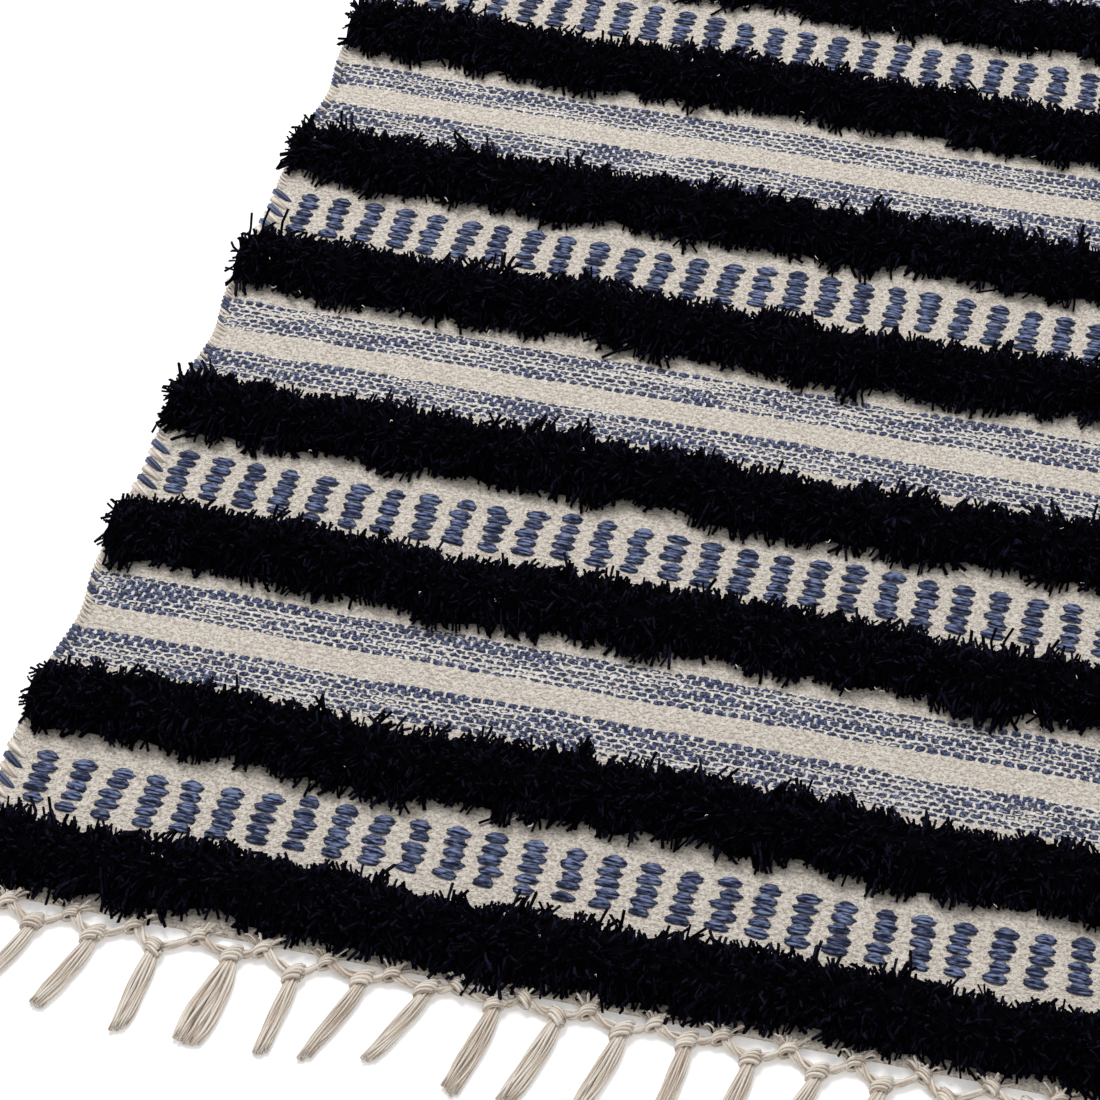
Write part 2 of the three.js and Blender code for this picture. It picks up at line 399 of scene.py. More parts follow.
def pulled_in(y):
    """How far a selvedge is drawn in at a place along the mat."""
    for middle, half, figured in BANDS:
        across = (y - middle) / half
        if abs(across) < 1:
            return (FIGURED_PULL if figured else MARLED_PULL) * math.cos(across * math.pi / 2) ** 2
    return 0.0


def wander(x, reach, wave, seed):
    """A smooth uneven line along x, for what a loom and hands leave crooked."""
    phases = np.random.default_rng(seed).uniform(0, 2 * math.pi, 4)
    total = np.zeros_like(x, dtype=float)
    for step, phase in enumerate(phases):
        total += np.sin(2 * math.pi * x / (wave * 0.62**step) + phase) * 0.75**step
    return reach * total / 1.6


# Mesh helpers


def joined(name, points, faces, finish, tones=None, routes=None):
    """One smooth object from points and triangles, with each point's tone and its place on its yarn."""
    mesh = bpy.data.meshes.new(name)
    points = np.asarray(points, dtype=np.float32) * MM
    faces = np.asarray(faces, dtype=np.int32)
    mesh.vertices.add(len(points))
    mesh.vertices.foreach_set("co", points.ravel())
    mesh.loops.add(faces.size)
    mesh.loops.foreach_set("vertex_index", faces.ravel())
    mesh.polygons.add(len(faces))
    mesh.polygons.foreach_set("loop_start", np.arange(0, faces.size, 3, dtype=np.int32))
    mesh.polygons.foreach_set("use_smooth", np.full(len(faces), True))
    mesh.update(calc_edges=True)
    if tones is not None:
        layer = mesh.attributes.new("tone", "FLOAT", "POINT")
        layer.data.foreach_set("value", np.asarray(tones, dtype=np.float32))
    if routes is not None:
        layer = mesh.uv_layers.new(name="yarn")
        layer.data.foreach_set("uv", np.asarray(routes, dtype=np.float32)[faces.ravel()].ravel())
    mesh.materials.append(finish)
    made = bpy.data.objects.new(name, mesh)
    bpy.context.scene.collection.objects.link(made)
    return made


def unit_arrays(obj):
    """The points and triangles of a modelled unit, which is then put away."""
    mesh = obj.data
    mesh.calc_loop_triangles()
    points = np.array([obj.matrix_world @ vertex.co for vertex in mesh.vertices])
    faces = np.array([tuple(triangle.vertices) for triangle in mesh.loop_triangles])
    bpy.data.objects.remove(obj)
    return points, faces


def laid_out(points, faces, placings):
    """Copies of a unit, one for each 4x4 placing."""
    placings = np.asarray(placings)
    placed = np.einsum("nij,mj->nmi", placings[:, :3, :3], points) + placings[:, None, :3, 3]
    numbered = faces[None] + (np.arange(len(placings)) * len(points))[:, None, None]
    return placed.reshape(-1, 3), numbered.reshape(-1, 3)


def stacked(parts):
    """Several (points, triangles) pairs as one."""
    points = np.concatenate([part[0] for part in parts])
    starts = np.cumsum([0] + [len(part[0]) for part in parts[:-1]])
    faces = np.concatenate([part[1] + start for part, start in zip(parts, starts)])
    return points, faces


def placings_along(roots, tips, widths, spins):
    """Placings that stretch a unit one high along Z from each root to its tip."""
    axis = tips - roots
    length = np.linalg.norm(axis, axis=1)
    axis = axis / length[:, None]
    guide = np.array([0.31, 0.17, 0.93])
    side = np.cross(axis, guide)
    side /= np.linalg.norm(side, axis=1)[:, None]
    other = np.cross(axis, side)
    turned = side * np.cos(spins)[:, None] + other * np.sin(spins)[:, None]
    across = np.cross(axis, turned)
    placings = np.zeros((len(roots), 4, 4))
    placings[:, :3, 0] = turned * widths[:, None]
    placings[:, :3, 1] = across * widths[:, None]
    placings[:, :3, 2] = axis * length[:, None]
    placings[:, :3, 3] = roots
    placings[:, 3, 3] = 1
    return placings


def yarn(path, radii, sides=5, start=0.0):
    """A closed round tube along a path, with a place round and along the yarn for each point."""
    path = np.asarray(path, dtype=float)
    radii = np.broadcast_to(radii, len(path))
    along = np.gradient(path, axis=0)
    along /= np.linalg.norm(along, axis=1)[:, None]
    side = np.cross(along, (0.0, 0.0, 1.0))
    upright = np.linalg.norm(side, axis=1) < 1e-3
    side[upright] = (1.0, 0.0, 0.0)
    side /= np.linalg.norm(side, axis=1)[:, None]
    upward = np.cross(side, along)
    angles = np.arange(sides) * 2 * math.pi / sides
    ring = side[:, None] * np.cos(angles)[None, :, None] + upward[:, None] * np.sin(angles)[None, :, None]
    points = path[:, None] + ring * radii[:, None, None]
    steps = np.concatenate([[0], np.cumsum(np.linalg.norm(np.diff(path, axis=0), axis=1))]) + start
    routes = np.stack(np.broadcast_arrays(angles[None, :] / (2 * math.pi), steps[:, None]), axis=-1)
    faces = []
    for ring_number in range(len(path) - 1):
        for number in range(sides):
            a = ring_number * sides + number
            b = ring_number * sides + (number + 1) % sides
            faces += [(b, a, a + sides), (b + sides, b, a + sides)]
    last = (len(path) - 1) * sides
    for number in range(1, sides - 1):
        faces.append((0, number, number + 1))
        faces.append((last, last + number + 1, last + number))
    return points.reshape(-1, 3), np.array(faces), routes.reshape(-1, 2)


class Bundle:
    """Yarns that are joined into one object."""

    def __init__(self):
        self.points = []
        self.faces = []
        self.routes = []
        self.tones = []
        self.count = 0

    def add(self, points, faces, routes, tone):
        """Adds one yarn, kept off the floor."""
        points[:, 2] = np.maximum(points[:, 2], YARN_CLEARANCE)
        self.points.append(points)
        self.faces.append(faces + self.count)
        self.routes.append(routes)
        self.tones.append(np.full(len(points), tone))
        self.count += len(points)

    def turn_round(self):
        """Half a turn about Z, which lays a near end's yarns at the far end."""
        self.points = [points * np.array([-1, -1, 1]) for points in self.points]

    def piece(self, name, finish):
        points = np.concatenate(self.points)
        faces = np.concatenate(self.faces)
        return joined(name, points, faces, finish, np.concatenate(self.tones), np.concatenate(self.routes))


# Finishes


def own_pick(tree, x, y):
    """The pick that a point lies on, its place across that pick from -1 to 1, and the pick's crest there.

    Picks swell in turn over every second warp, so the point is on an even or an odd pick.
    """
    crest = maths(tree, "COSINE", times(tree, x, math.pi / WARP_PITCH))
    pair = maths(tree, "DIVIDE", y, 2 * PICK_PITCH)
    even_pick = maths(tree, "ROUND", pair)
    off_even = times(tree, minus(tree, pair, even_pick), 2.0)
    odd_pick = maths(tree, "FLOOR", pair)
    off_odd = scaled(tree, minus(tree, pair, odd_pick), 2.0, -1.0)
    even_half = scaled(tree, crest, PICK_SWELL, 0.5)
    in_even = maths(tree, "LESS_THAN", maths(tree, "ABSOLUTE", off_even), even_half)
    in_odd = minus(tree, 1.0, in_even)
    own_crest = times(tree, crest, minus(tree, in_even, in_odd))
    own_half = scaled(tree, own_crest, PICK_SWELL, 0.5)
    own_off = plus(tree, times(tree, off_even, in_even), times(tree, off_odd, in_odd))
    across = clamped(tree, maths(tree, "DIVIDE", own_off, own_half), -0.999, 0.999)
    even_share = times(tree, even_pick, in_even)
    odd_share = times(tree, plus(tree, odd_pick, 0.5), in_odd)
    return plus(tree, even_share, odd_share), across, own_crest


def along_pick(tree, x, seed, rate, layer, detail, roughness=0.5):
    """A noise that changes along each pick and starts afresh on the next one."""
    return noise(tree, vector_of(tree, times(tree, x, rate), seed, layer), 1.0, detail, roughness)


def blue_strand(tree, x, seed, across, own_crest, grain):
    """Where a marled pick's blue shows: nowhere, in a crescent at each float, or all over."""
    change = along_pick(tree, x, seed, **SIZE_NOISE)
    run = along_pick(tree, x, seed, **SOLID_NOISE)
    solid = times(tree, clamped(tree, minus(tree, run, MARL_SOLID)), 9.0)
    fullness = plus(tree, scaled(tree, minus(tree, change, 0.5), 1.6, MARL_SIZE), solid)
    lie = along_pick(tree, x, seed, **LIE_NOISE)
    off_line = plus(tree, across, scaled(tree, lie, 1.6, -0.65))
    ragged = scaled(tree, grain, 0.3, -0.15)
    from_middle = vector_of(tree, off_line, scaled(tree, own_crest, -0.15, 0.15))
    edge = plus(tree, vector_length(tree, from_middle), ragged)
    blue = soft_edge(tree, minus(tree, fullness, edge), MARL_SHARPNESS)

    # Where the undyed strand of the same pick lies in front, the blue is a crescent behind it.
    showing = along_pick(tree, x, seed, **UNDYED_NOISE)
    showing = minus(tree, scaled(tree, showing, 2.4, -1.12), solid)
    front = vector_of(tree, scaled(tree, across, 1.3, 0.5), scaled(tree, own_crest, -0.4, 0.4))
    undyed = soft_edge(tree, minus(tree, showing, vector_length(tree, front)), MARL_SHARPNESS)
    return times(tree, blue, minus(tree, 1.0, undyed))


def marled_zone(tree, pick):
    """1 on the picks of the marled bands that hold blue, else 0."""
    row_middle = times(tree, pick, 2 * PICK_PITCH)
    zone = 0.0
    for middle in MARLED_MIDDLES:
        off = maths(tree, "ABSOLUTE", minus(tree, row_middle, middle))
        zone = plus(tree, between(tree, off, MARL_CORE, MARL_EDGE), zone)
    return zone


def marled_dye(tree, x, seed, across, strand_side, grain):
    """Blue with painted light: lighter along the middle of each strand and towards the far side of its
    pick, darker at its edges, with random grain and pale slanting flecks.
    """
    # Painted light: the blue is lighter along each strand's middle and towards the far side of its pick,
    # and darker at the strands' edges; the grain adds random tone.
    painted_light_and_grain = scaled(tree, strand_side, 0.4, scaled(tree, grain, 1.8, -0.98))
    painted_light_and_grain = clamped(tree, scaled(tree, across, 0.25, painted_light_and_grain))
    dyed = blended(tree, painted_light_and_grain, BLUE, MARL_LIGHT)
    slant = scaled(tree, across, 1.1, times(tree, x, 0.9))
    fleck = noise(tree, vector_of(tree, slant, seed, times(tree, across, 1.4)), 1.0, 2.0, 0.6)
    return blended(tree, clamped(tree, scaled(tree, fleck, 9.0, -5.3)), dyed, MARL_FLECK)


def weave_finish():
    """Plain weave of three-strand picks, undyed, and blue and undyed in the marled bands, with shade
    painted into the hollows between picks and strands.
    """
    made, tree, shader = material("cotton_weave")
    place = object_place(tree)
    split = tree.nodes.new("ShaderNodeSeparateXYZ")
    tree.links.new(place, split.inputs[0])
    moved = tree.nodes.new("ShaderNodeVectorMath")
    moved.operation = "ADD"
    moved.inputs[1].default_value = WARP_NOISE_SHIFT
    tree.links.new(place, moved.inputs[0])
    x = shaken(tree, moved.outputs[0], maths(tree, "DIVIDE", split.outputs[0], MM), *WARP_SHAKE)
    y = shaken(tree, place, maths(tree, "DIVIDE", split.outputs[1], MM), *PICK_BOW)
    y = shaken(tree, place, y, *PICK_SHAKE)

    pick, across, own_crest = own_pick(tree, x, y)
    strand_place = scaled(tree, across, 1.5, 1.5)
    strand_side = maths(tree, "ABSOLUTE", maths(tree, "SINE", times(tree, strand_place, math.pi)))
    swell = minus(tree, 1.0, times(tree, across, across))
    lens = times(tree, swell, scaled(tree, own_crest, 0.3, 0.7))
    knuckle = times(tree, lens, scaled(tree, strand_side, 0.55, 0.45))
    grain = noise(tree, place, WEAVE_GRAIN, 3.0, 0.65)
    grain = clamped(tree, scaled(tree, grain, 3.4, -1.2))
    height = scaled(tree, grain, 0.7, times(tree, knuckle, 0.7))
    bumped(tree, shader, height, WEAVE_BUMP_M, 1.0)

    seed = times(tree, pick, PICK_SEED_STEP)
    zone = marled_zone(tree, pick)
    warp_dot = maths(tree, "LESS_THAN", own_crest, -0.8)
    showing = minus(tree, zone, times(tree, zone, warp_dot))
    blue = times(tree, blue_strand(tree, x, seed, across, own_crest, grain), showing)

    # Painted shade: the undyed cotton darkens where the grain and the picks' knuckles are low, in the
    # hollows that the bump also shows
    depth = plus(tree, grain, times(tree, knuckle, 0.55))
    cotton = blended(tree, clamped(tree, depth), ECRU_PAINTED_SHADE, ECRU)
    # In the marled bands the undyed strands are drawn brighter, up to ECRU_BRIGHT on their tops, as a
    # painted highlight over the same painted shade
    bright = blended(tree, clamped(tree, plus(tree, depth, 0.1)), ECRU_PAINTED_SHADE, ECRU_BRIGHT)
    undyed = blended(tree, zone, cotton, bright)
    dyed = marled_dye(tree, x, seed, across, strand_side, grain)
    tree.links.new(blended(tree, blue, undyed, dyed), shader.inputs["Base Color"])
    shader.inputs["Sheen Weight"].default_value = 0.1
    return made


def yarn_finish(name, dark, light, lift=-0.3, plies=3.0):
    """Plied yarn: slanting plies along the yarn's own places, with shade painted into the grooves between
    plies, and a tone of its own for each yarn.
    """
    made, tree, shader = material(name)
    places = tree.nodes.new("ShaderNodeUVMap")
    places.uv_map = "yarn"
    split = tree.nodes.new("ShaderNodeSeparateXYZ")
    tree.links.new(places.outputs[0], split.inputs[0])
    turn = scaled(tree, split.outputs[1], PLY_TWIST, times(tree, split.outputs[0], plies))
    ply = maths(tree, "ABSOLUTE", maths(tree, "SINE", times(tree, turn, math.pi)))
    fibre = noise(tree, object_place(tree), YARN_FIBRES)
    # Painted shade: the colour falls towards the dark one in the grooves between plies.
    share = scaled(tree, ply, 0.7, times(tree, tone_of_point(tree), 0.45))
    share = clamped(tree, scaled(tree, fibre, 0.6, plus(tree, share, lift)))
    tree.links.new(blended(tree, share, dark, light), shader.inputs["Base Color"])
    bumped(tree, shader, scaled(tree, fibre, 0.6, ply), FIBRE_BUMP_M, 0.8)
    shader.inputs["Sheen Weight"].default_value = 0.15
    return made


def tone_finish(name, dark, light, sheen=0.0, gloss=0.15, streak=1.0, contrast=4.6):
    """Cotton whose colour differs from strand to strand, with fibres drawn out along X by the streak."""
    made, tree, shader = material(name, gloss=gloss)
    drawn = tree.nodes.new("ShaderNodeMapping")
    drawn.inputs["Scale"].default_value = (1 / streak, 1, 1)
    tree.links.new(object_place(tree), drawn.inputs["Vector"])
    fibre = noise(tree, drawn.outputs[0], COTTON_FIBRES)
    lit = scaled(tree, minus(tree, fibre, 0.5), contrast, 0.95)
    share = clamped(tree, times(tree, tone_of_point(tree), lit))
    tree.links.new(blended(tree, share, dark, light), shader.inputs["Base Color"])
    bumped(tree, shader, fibre, FIBRE_BUMP_M, 0.6)
    shader.inputs["Sheen Weight"].default_value = sheen
    return made


# Woven ground


def pucker(x, y):
    """Two bent waves that cross, for cloth that the pile and the floats draw together."""
    across = np.sin(x * 0.21 + 1.7 * np.sin(y * 0.05))
    along = np.sin(y * 0.17 + 0.9 * np.sin(x * 0.03))
    return PUCKER * across * along


def sheet_faces(across_count, along_count):
    """Triangles of a closed sheet: its top points row by row, then its underside's in the same order."""
    row = across_count + 1
    count = row * (along_count + 1)
    corners = (np.arange(along_count)[:, None] * row + np.arange(across_count)[None, :]).ravel()
    first = np.stack([corners, corners + 1, corners + row], axis=1)
    second = np.stack([corners + 1, corners + row + 1, corners + row], axis=1)
    upper = np.concatenate([first, second])
    lower = upper[:, ::-1] + count
    near_rim = np.arange(across_count)
    right_rim = across_count + row * np.arange(along_count)
    far_rim = row * along_count + np.arange(across_count, 0, -1)
    left_rim = row * np.arange(along_count, 0, -1)
    rim = np.concatenate([near_rim, right_rim, far_rim, left_rim])
    following = np.roll(rim, -1)
    wall = np.stack([rim, rim + count, following], axis=1)
    other_wall = np.stack([following, rim + count, following + count], axis=1)
    return np.concatenate([upper, lower, wall, other_wall])


def woven_ground():
    """The ground sheet: a closed thin mesh with wavering selvedges and a slight pucker."""
    across = np.linspace(-1, 1, STEPS_ACROSS + 1)
    along = np.linspace(-HALF_LENGTH, HALF_LENGTH, STEPS_ALONG + 1)
    half = np.array([HALF_WIDTH - SELVEDGE_INSET - pulled_in(y) for y in along])
    x = across[None, :] * half[:, None]
    y = np.repeat(along[:, None], len(across), axis=1)
    top = np.stack([x, y, CLOTH_TOP + pucker(x, y)], axis=-1).reshape(-1, 3)
    under = np.stack([x, y, np.zeros_like(x)], axis=-1).reshape(-1, 3)
    faces = sheet_faces(STEPS_ACROSS, STEPS_ALONG)
    piece = joined("woven_ground", np.concatenate([top, under]), faces, weave_finish())
    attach(piece, "root")
    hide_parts("ground_cloth")
    return piece


def float_unit():
    """One float: three strands side by side that rise from the cloth and dip back in."""
    strands = []
    for offset, length in FLOAT_STRANDS:
        bpy.ops.object.select_all(action="DESELECT")
        bpy.ops.mesh.primitive_cylinder_add(vertices=4, radius=0.22, depth=1, rotation=(0, math.pi / 2, 0))
        strand = bpy.context.object
        bpy.ops.object.transform_apply(rotation=True)
        bpy.ops.object.mode_set(mode="EDIT")
        for place in FLOAT_CUTS:
            bpy.ops.mesh.select_all(action="SELECT")
            bpy.ops.mesh.bisect(plane_co=(place, 0, 0), plane_no=(1, 0, 0))
        bpy.ops.object.mode_set(mode="OBJECT")
        outer = abs(offset) / OUTER_STRAND
        for vertex in strand.data.vertices:
            share = vertex.co.x * 2
            swell = math.sqrt(max(1 - abs(share) ** 2.6, 0)) * 0.74 + 0.26
            vertex.co.y = vertex.co.y * swell + offset * (0.45 + 0.55 * swell)
            vertex.co.z = vertex.co.z * swell + (0.34 - 0.1 * outer) * swell
            vertex.co.x *= length
        strands.append(strand)
    for strand in strands:
        strand.select_set(True)
    bpy.context.view_layer.objects.active = strands[0]
    bpy.ops.object.join()
    return unit_arrays(bpy.context.object)


def float_placing(x, y):
    """The size, turn and place of one float, a little off those of its neighbours."""
    y += chance.normal(0, FLOAT_OFF_ROW)
    length = FLOAT_LENGTH * chance.uniform(*FLOAT_LENGTHS)
    width = FLOAT_WIDTH * chance.uniform(*FLOAT_WIDTHS)
    turn = Matrix.Rotation(chance.normal(FLOAT_TURN, FLOAT_TURN_CHANGE), 3, "Z")
    rise = FLOAT_RISE * chance.uniform(*FLOAT_RISES)
    placing = np.eye(4)
    placing[:3, :3] = np.array(turn @ Matrix.Diagonal((length, width, rise)))
    placing[:3, 3] = (x + chance.normal(0, FLOAT_OFF_COLUMN), y, CLOTH_TOP - FLOAT_SINK)
    return placing


def weft_floats():
    """The columns of blue floats in the figured bands, with shade painted on each float's low sides and
    ends.
    """
    points, faces = float_unit()
    # Painted shade: each point's tone falls with its height, so a float is lighter on top and darker on its
    # low sides and ends.
    lit = np.clip(points[:, 2] / points[:, 2].max(), 0.15, 1) ** 1.3
    kinds = [points + chance.normal(0, 0.028, points.shape) for kind in range(FLOAT_KINDS)]
    placings = [[] for kind in kinds]
    tones = [[] for kind in kinds]
    for band, middle in enumerate(FIGURED_MIDDLES):
        for column in range(FLOAT_COLUMNS):
            x = (column - (FLOAT_COLUMNS - 1) / 2) * FLOAT_COLUMN_PITCH
            bow = wander(np.array([x]), *FLOAT_BOW, band)[0]
            for row in range(FLOAT_ROWS):
                y = middle + (row - (FLOAT_ROWS - 1) / 2) * 2 * PICK_PITCH + bow
                placing = float_placing(x, y)
                kind = chance.integers(FLOAT_KINDS)
                placings[kind].append(placing)
                tones[kind].append(chance.uniform(*FLOAT_TONES) * lit)
    placed, numbered = stacked([laid_out(kind, faces, places) for kind, places in zip(kinds, placings)])
    finish = tone_finish("blue_weft", BLUE, FLOAT_LIGHT, sheen=0.1, streak=3.5, contrast=11.0)
    piece = joined("weft_floats", placed, numbered, finish, tones=np.concatenate(sum(tones, [])))
    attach(piece, "root")
    return piece


def edge_wrap(edge, y, side, wrap):
    """A strand that comes round the selvedge from below and slants inwards over the top."""
    reach = wrap["reach"] * chance.uniform(1 - wrap["change"], 1 + wrap["change"])
    drop = wrap["drop"]
    # Each stop is (inwards from the edge, along the mat, height, swell).
    stops = (
        (2.6, 1.6, 0.6, 0.7),
        (0.9, 1.2, 1.0, 1.0),
        (0.7, 0.5, 2.3, 1.05),
        (reach * 0.45, -drop * 0.45, 3.0, 1.0),
        (reach * 0.8, -drop * 0.85, 2.9, 0.75),
        (reach, -drop, 2.3, 0.35),
    )
    path = np.array([(edge - inwards, y + along, height) for inwards, along, height, swell in stops])
    radii = np.array([wrap["thickness"] * swell for inwards, along, height, swell in stops])
    path[:, 2] = np.maximum(path[:, 2], radii)
    path[:, 0] *= side
    return path, radii


def selvedge(side):
    """The weft turning round the outermost warp, thick in the figured bands and thin elsewhere."""
    undyed = Bundle()
    dyed = Bundle()
    for number in range(int(2 * HALF_LENGTH / PICK_PITCH)):
        y = -HALF_LENGTH + (number + 0.5) * PICK_PITCH
        edge = HALF_WIDTH - pulled_in(y) - WRAP_ROUND
        in_marl = any(MARL_CORE < abs(y - middle) < MARL_EDGE for middle in MARLED_MIDDLES)
        in_figured = any(abs(y - middle) < (FLOAT_ROWS + 1) * PICK_PITCH for middle in FIGURED_MIDDLES)
        if in_figured and number % 2 == 1:
            continue
        if in_figured:
            bundle = dyed if number % 4 == 0 else undyed
            path, radii = edge_wrap(edge, y, side, THICK_WRAP)
        else:
            bundle = dyed if in_marl and chance.uniform() < BLUE_WRAPS_IN_MARL else undyed
            path, radii = edge_wrap(edge, y, side, THIN_WRAP)
        points, faces, routes = yarn(path, radii, start=number * 3.0)
        bundle.add(points, faces, routes, chance.uniform(0.2, 0.9))
    word = "left" if side < 0 else "right"
    plain = undyed.piece(f"selvedge_{word}", undyed_yarn)
    marked = dyed.piece(f"selvedge_{word}_blue", blue_yarn)
    for piece in (plain, marked):
        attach(piece, "root")
    return [plain, marked]


# Pile


def cut_end_unit(root, bend=0.0):
    """One cut end of yarn: three-sided, one high, thicker at its blunt tip, and bent over on its way."""
    bpy.ops.object.select_all(action="DESELECT")
    bpy.ops.mesh.primitive_cone_add(vertices=3, radius1=root, radius2=0.5, depth=1, location=(0, 0, 0.5))
    bpy.ops.object.transform_apply(location=True)
    end = bpy.context.object
    if bend:
        bpy.ops.object.mode_set(mode="EDIT")
        bpy.ops.mesh.select_all(action="SELECT")
        bpy.ops.mesh.bisect(plane_co=(0, 0, 0.55), plane_no=(0, 0, 1))
        bpy.ops.object.mode_set(mode="OBJECT")
        for vertex in end.data.vertices:
            vertex.co.x += bend * vertex.co.z * (1 - vertex.co.z)
    return unit_arrays(end)


def core_unit():
    """A round bar along X, cut into steps, to be shaped into the body of a stripe."""
    bpy.ops.object.select_all(action="DESELECT")
    bpy.ops.mesh.primitive_cylinder_add(vertices=16, radius=1, depth=1, rotation=(0, math.pi / 2, 0))
    bpy.ops.object.transform_apply(rotation=True)
    bpy.ops.object.mode_set(mode="EDIT")
    for step in range(1, CORE_STEPS):
        bpy.ops.mesh.select_all(action="SELECT")
        bpy.ops.mesh.bisect(plane_co=(step / CORE_STEPS - 0.5, 0, 0), plane_no=(1, 0, 0))
    bpy.ops.object.mode_set(mode="OBJECT")
    return unit_arrays(bpy.context.object)


class PileForm:
    """The envelope of one stripe: its crooked middle, its rims with their tufts, and its height along X."""

    def __init__(self, number, middle):
        self.seed = number * 10
        self.middle = middle
        draw = np.random.default_rng(self.seed + 7)
        places = np.arange(-HALF_WIDTH, HALF_WIDTH + TUFT_WIDTH, TUFT_WIDTH)
        self.tufts = np.sort(places + draw.uniform(-TUFT_SHIFT, TUFT_SHIFT, len(places)))
        self.tuft_length = draw.uniform(0, 1, len(places)) ** 2
        self.tuft_lean = draw.normal(0, TUFT_LEAN, len(places))

    def round_off(self, x):
        """1 along the stripe, falling to 0 round its two ends."""
        share = np.clip((HALF_WIDTH + PILE_OVERHANG - np.abs(x)) / PILE_END, 0.0, 1.0)
        return np.sqrt(1 - (1 - share) ** 2)

    def nearest_tuft(self, x):
        """The tuft nearest to each place, and how far the place is from its middle, 1 at its edge."""
        tuft = np.abs(np.ravel(x)[:, None] - self.tufts[None, :]).argmin(axis=1)
        off = np.clip(np.abs(np.ravel(x) - self.tufts[tuft]) * 2 / TUFT_WIDTH, 0, 1)
        return tuft, off

    def reach(self, x, angle):
        """How far the rim lies from the middle, at the back for a positive angle and else at the front."""
        scallop = TUFT_RISE * (0.6 - self.nearest_tuft(x)[1] ** 2)
        back = PILE_BACK + wander(x, *BACK_SWING, self.seed + 1) + wander(x, *BACK_RIPPLE, self.seed + 5)
        swing = wander(x, *FRONT_SWING, self.seed + 2)
        front = PILE_FRONT + swing + wander(x, *FRONT_RIPPLE, self.seed + 6)
        rounded = PILE_END_REACH + (1 - PILE_END_REACH) * self.round_off(x)
        return np.where(angle > 0, back + scallop, front) * rounded

    def height(self, x):
        rounded = PILE_END_HEIGHT + (1 - PILE_END_HEIGHT) * self.round_off(x)
        return PILE_HEIGHT * (1 + wander(x, *HEIGHT_SWING, self.seed + 3)) * rounded

    def at(self, share, angle, x):
        """The point at a share of the way from the foot to the surface, at an angle from straight up."""
        y = self.middle + wander(x, *MIDDLE_SWING, self.seed) + np.sin(angle) * self.reach(x, angle) * share
        z = PILE_FOOT + np.cos(np.clip(angle, -LEVEL_ANGLE, LEVEL_ANGLE)) * self.height(x) * share
        return np.stack([x, y, z], axis=-1)


def shaped_core(unit, form):
    """The lumpy body of a stripe under its cut ends, with a flat foot."""
    bar, faces = unit
    x = bar[:, 0] * 2 * (HALF_WIDTH - 2)
    angle = np.arctan2(bar[:, 1], np.maximum(bar[:, 2], 0))
    under = bar[:, 2] < -0.01
    lump = 1 + 0.06 * np.sin(x * 0.9 + 3 * angle + form.seed) + 0.05 * np.sin(x * 0.37 - 5 * angle)
    share = CORE_SHARE * lump * np.where(under, 0.9, 1.0)
    points = form.at(share, angle, x)
    side = bar[under, 1]
    foot = form.at(np.full(len(side), CORE_FOOT), np.sign(side) * math.pi / 2, x[under])[:, 1]
    points[under, 1] = form.middle + (foot - form.middle) * np.abs(side)
    points[under, 2] = PILE_FOOT
    return points, faces


def clump_of(x, angle):
    """The clump of each cut end, as a pair of indexes, and how many clumps there are each way."""
    counts = (int(2 * HALF_WIDTH / CLUMP_WIDTH) + 2, int(math.pi * PILE_BACK / CLUMP_WIDTH) + 2)
    place = (x + HALF_WIDTH) / CLUMP_WIDTH + 0.5 * np.sin(angle * 9)
    row = (angle + 1.6) / math.pi * counts[1] + 0.4 * np.sin(x * 0.4)
    return (place.astype(int).clip(0, counts[0] - 1), row.astype(int).clip(0, counts[1] - 1)), counts


def thatch(form, ends):
    """Roots and tips of cut ends spread evenly over the stripe, each leaning the way its clump leans."""
    columns = ends["columns"]
    rows = ends["rows"]
    total = columns * rows
    column, row = np.meshgrid(np.arange(columns), np.arange(rows))
    column = column.ravel() + chance.uniform(0, 1, total)
    row = row.ravel() + chance.uniform(0, 1, total)
    x = (column / columns - 0.5) * 2 * (HALF_WIDTH - 1)
    angle = ends["low"] + row / rows * (ends["high"] - ends["low"])
    clump, counts = clump_of(x, angle)
    drift_x = chance.normal(0, CLUMP_DRIFT, counts)[clump]
    drift_angle = chance.normal(0, CLUMP_TURN, counts)[clump]
    length = chance.normal(END_LENGTH, END_LENGTH_CHANGE, counts)[clump]
    length = length - BACK_SHORTER * np.clip((angle - 0.5) / 0.6, 0, 1)
    outward = np.clip((np.abs(x) - (HALF_WIDTH - PILE_END)) / PILE_END, 0, 1) * np.sign(x)
    root_x = np.clip(x - outward, 1 - HALF_WIDTH, HALF_WIDTH - 1)
    roots = form.at(np.full(total, ends["root"]), angle * 0.8, root_x)
    tip_angle = np.clip(angle + drift_angle + chance.normal(0, END_TURN, total), -RIM_ANGLE, RIM_ANGLE)
    unevenness = chance.normal(0, 1, total) * (0.045 - 0.018 * np.abs(angle))
    tips = form.at(length + unevenness, tip_angle, x + drift_x + chance.normal(0, END_DRIFT, total))
    tips[:, 0] += outward * 1.5
    farthest = HALF_WIDTH + PILE_OVERHANG + chance.normal(0, 0.7, total)
    tips[:, 0] = np.clip(tips[:, 0], -farthest, farthest)
    tips[:, 2] = np.maximum(tips[:, 2], PILE_FOOT + TIP_CLEARANCE)
    return roots, tips


